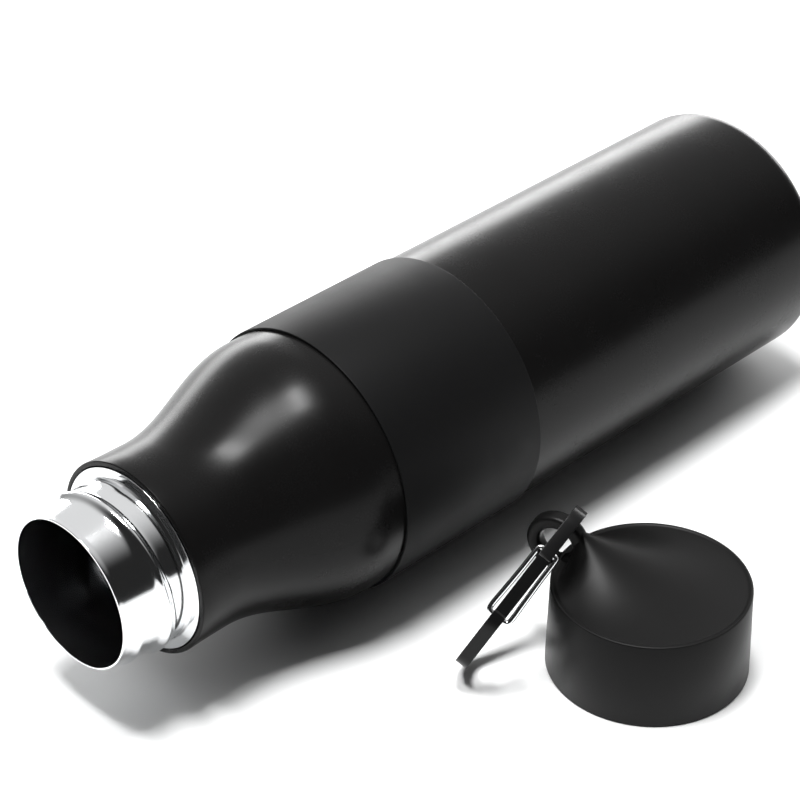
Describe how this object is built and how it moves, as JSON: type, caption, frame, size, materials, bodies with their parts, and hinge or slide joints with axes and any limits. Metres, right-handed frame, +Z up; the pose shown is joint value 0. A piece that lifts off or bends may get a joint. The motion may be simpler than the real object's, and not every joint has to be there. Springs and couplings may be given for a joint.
{
  "type": "insulated growler",
  "caption": "Slim double-wall steel growler lying on its side, with a rubber grip sleeve, threaded neck and a separate screw lid whose eye carries a snap hook.",
  "frame": {"origin": "centre of the base's flat face, on the bottle's axis; the bottle lies on its side with its axis 40.8 mm above the surface it lies on", "axes": "+X along the bottle's axis from the mouth to the base, +Z up, +Y away from the side that the loose lid stands on"},
  "size_m": [0.272, 0.1646, 0.0816],
  "materials": {
    "black_coat": "semi-matt black powder coat",
    "polished_steel": "polished",
    "copper_foil": "bright foil",
    "brushed_steel": "mill",
    "getter_metal": "sintered",
    "seal_metal": "cast bead",
    "base_rubber": "matt",
    "sleeve_rubber": "satin",
    "lid_plastic": "satin",
    "liner_plastic": "satin",
    "foam": "open-cell",
    "gasket": "translucent grey silicone",
    "hook_coat": "black anodised",
    "wire_steel": "polished"
  },
  "bodies": {
    "bottle": {"shoulder_shell": "black_coat", "body_shell": "black_coat", "threaded_neck": "polished_steel", "inner_shoulder": "polished_steel", "inner_wall": "polished_steel", "inner_bottom": "polished_steel", "foil_wrap": "copper_foil", "getter_cup": "brushed_steel", "getter_pellet": "getter_metal", "outer_bottom": "brushed_steel", "seal_plug": "seal_metal", "base_cap": "base_rubber", "grip_sleeve": "sleeve_rubber"},
    "lid": {"lid_shell": "lid_plastic", "lid_liner": "liner_plastic", "lid_foam": "foam", "lid_gasket": "gasket"},
    "hook": {"hook_body": "hook_coat"},
    "gate": {"gate_wire": "wire_steel"}
  },
  "joints": [
    {"name": "lid_lift", "type": "slide", "parent": "bottle", "child": "lid", "axis": [0, 0, 1], "range_m": [0, 0.1]},
    {"name": "hook_swing", "type": "hinge", "parent": "lid", "child": "hook", "pos_m": [-0.15279, -0.07097, -0.00274], "axis": [-0.2653, 0.8464, 0.4618], "range_deg": [0, 90]},
    {"name": "gate_press", "type": "hinge", "parent": "hook", "child": "gate", "pos_m": [-0.16925, -0.0781, 0.00088], "axis": [0.2653, -0.8464, -0.4618], "range_deg": [0, 40], "stiffness_Nm_per_rad": 0.02}
  ]
}
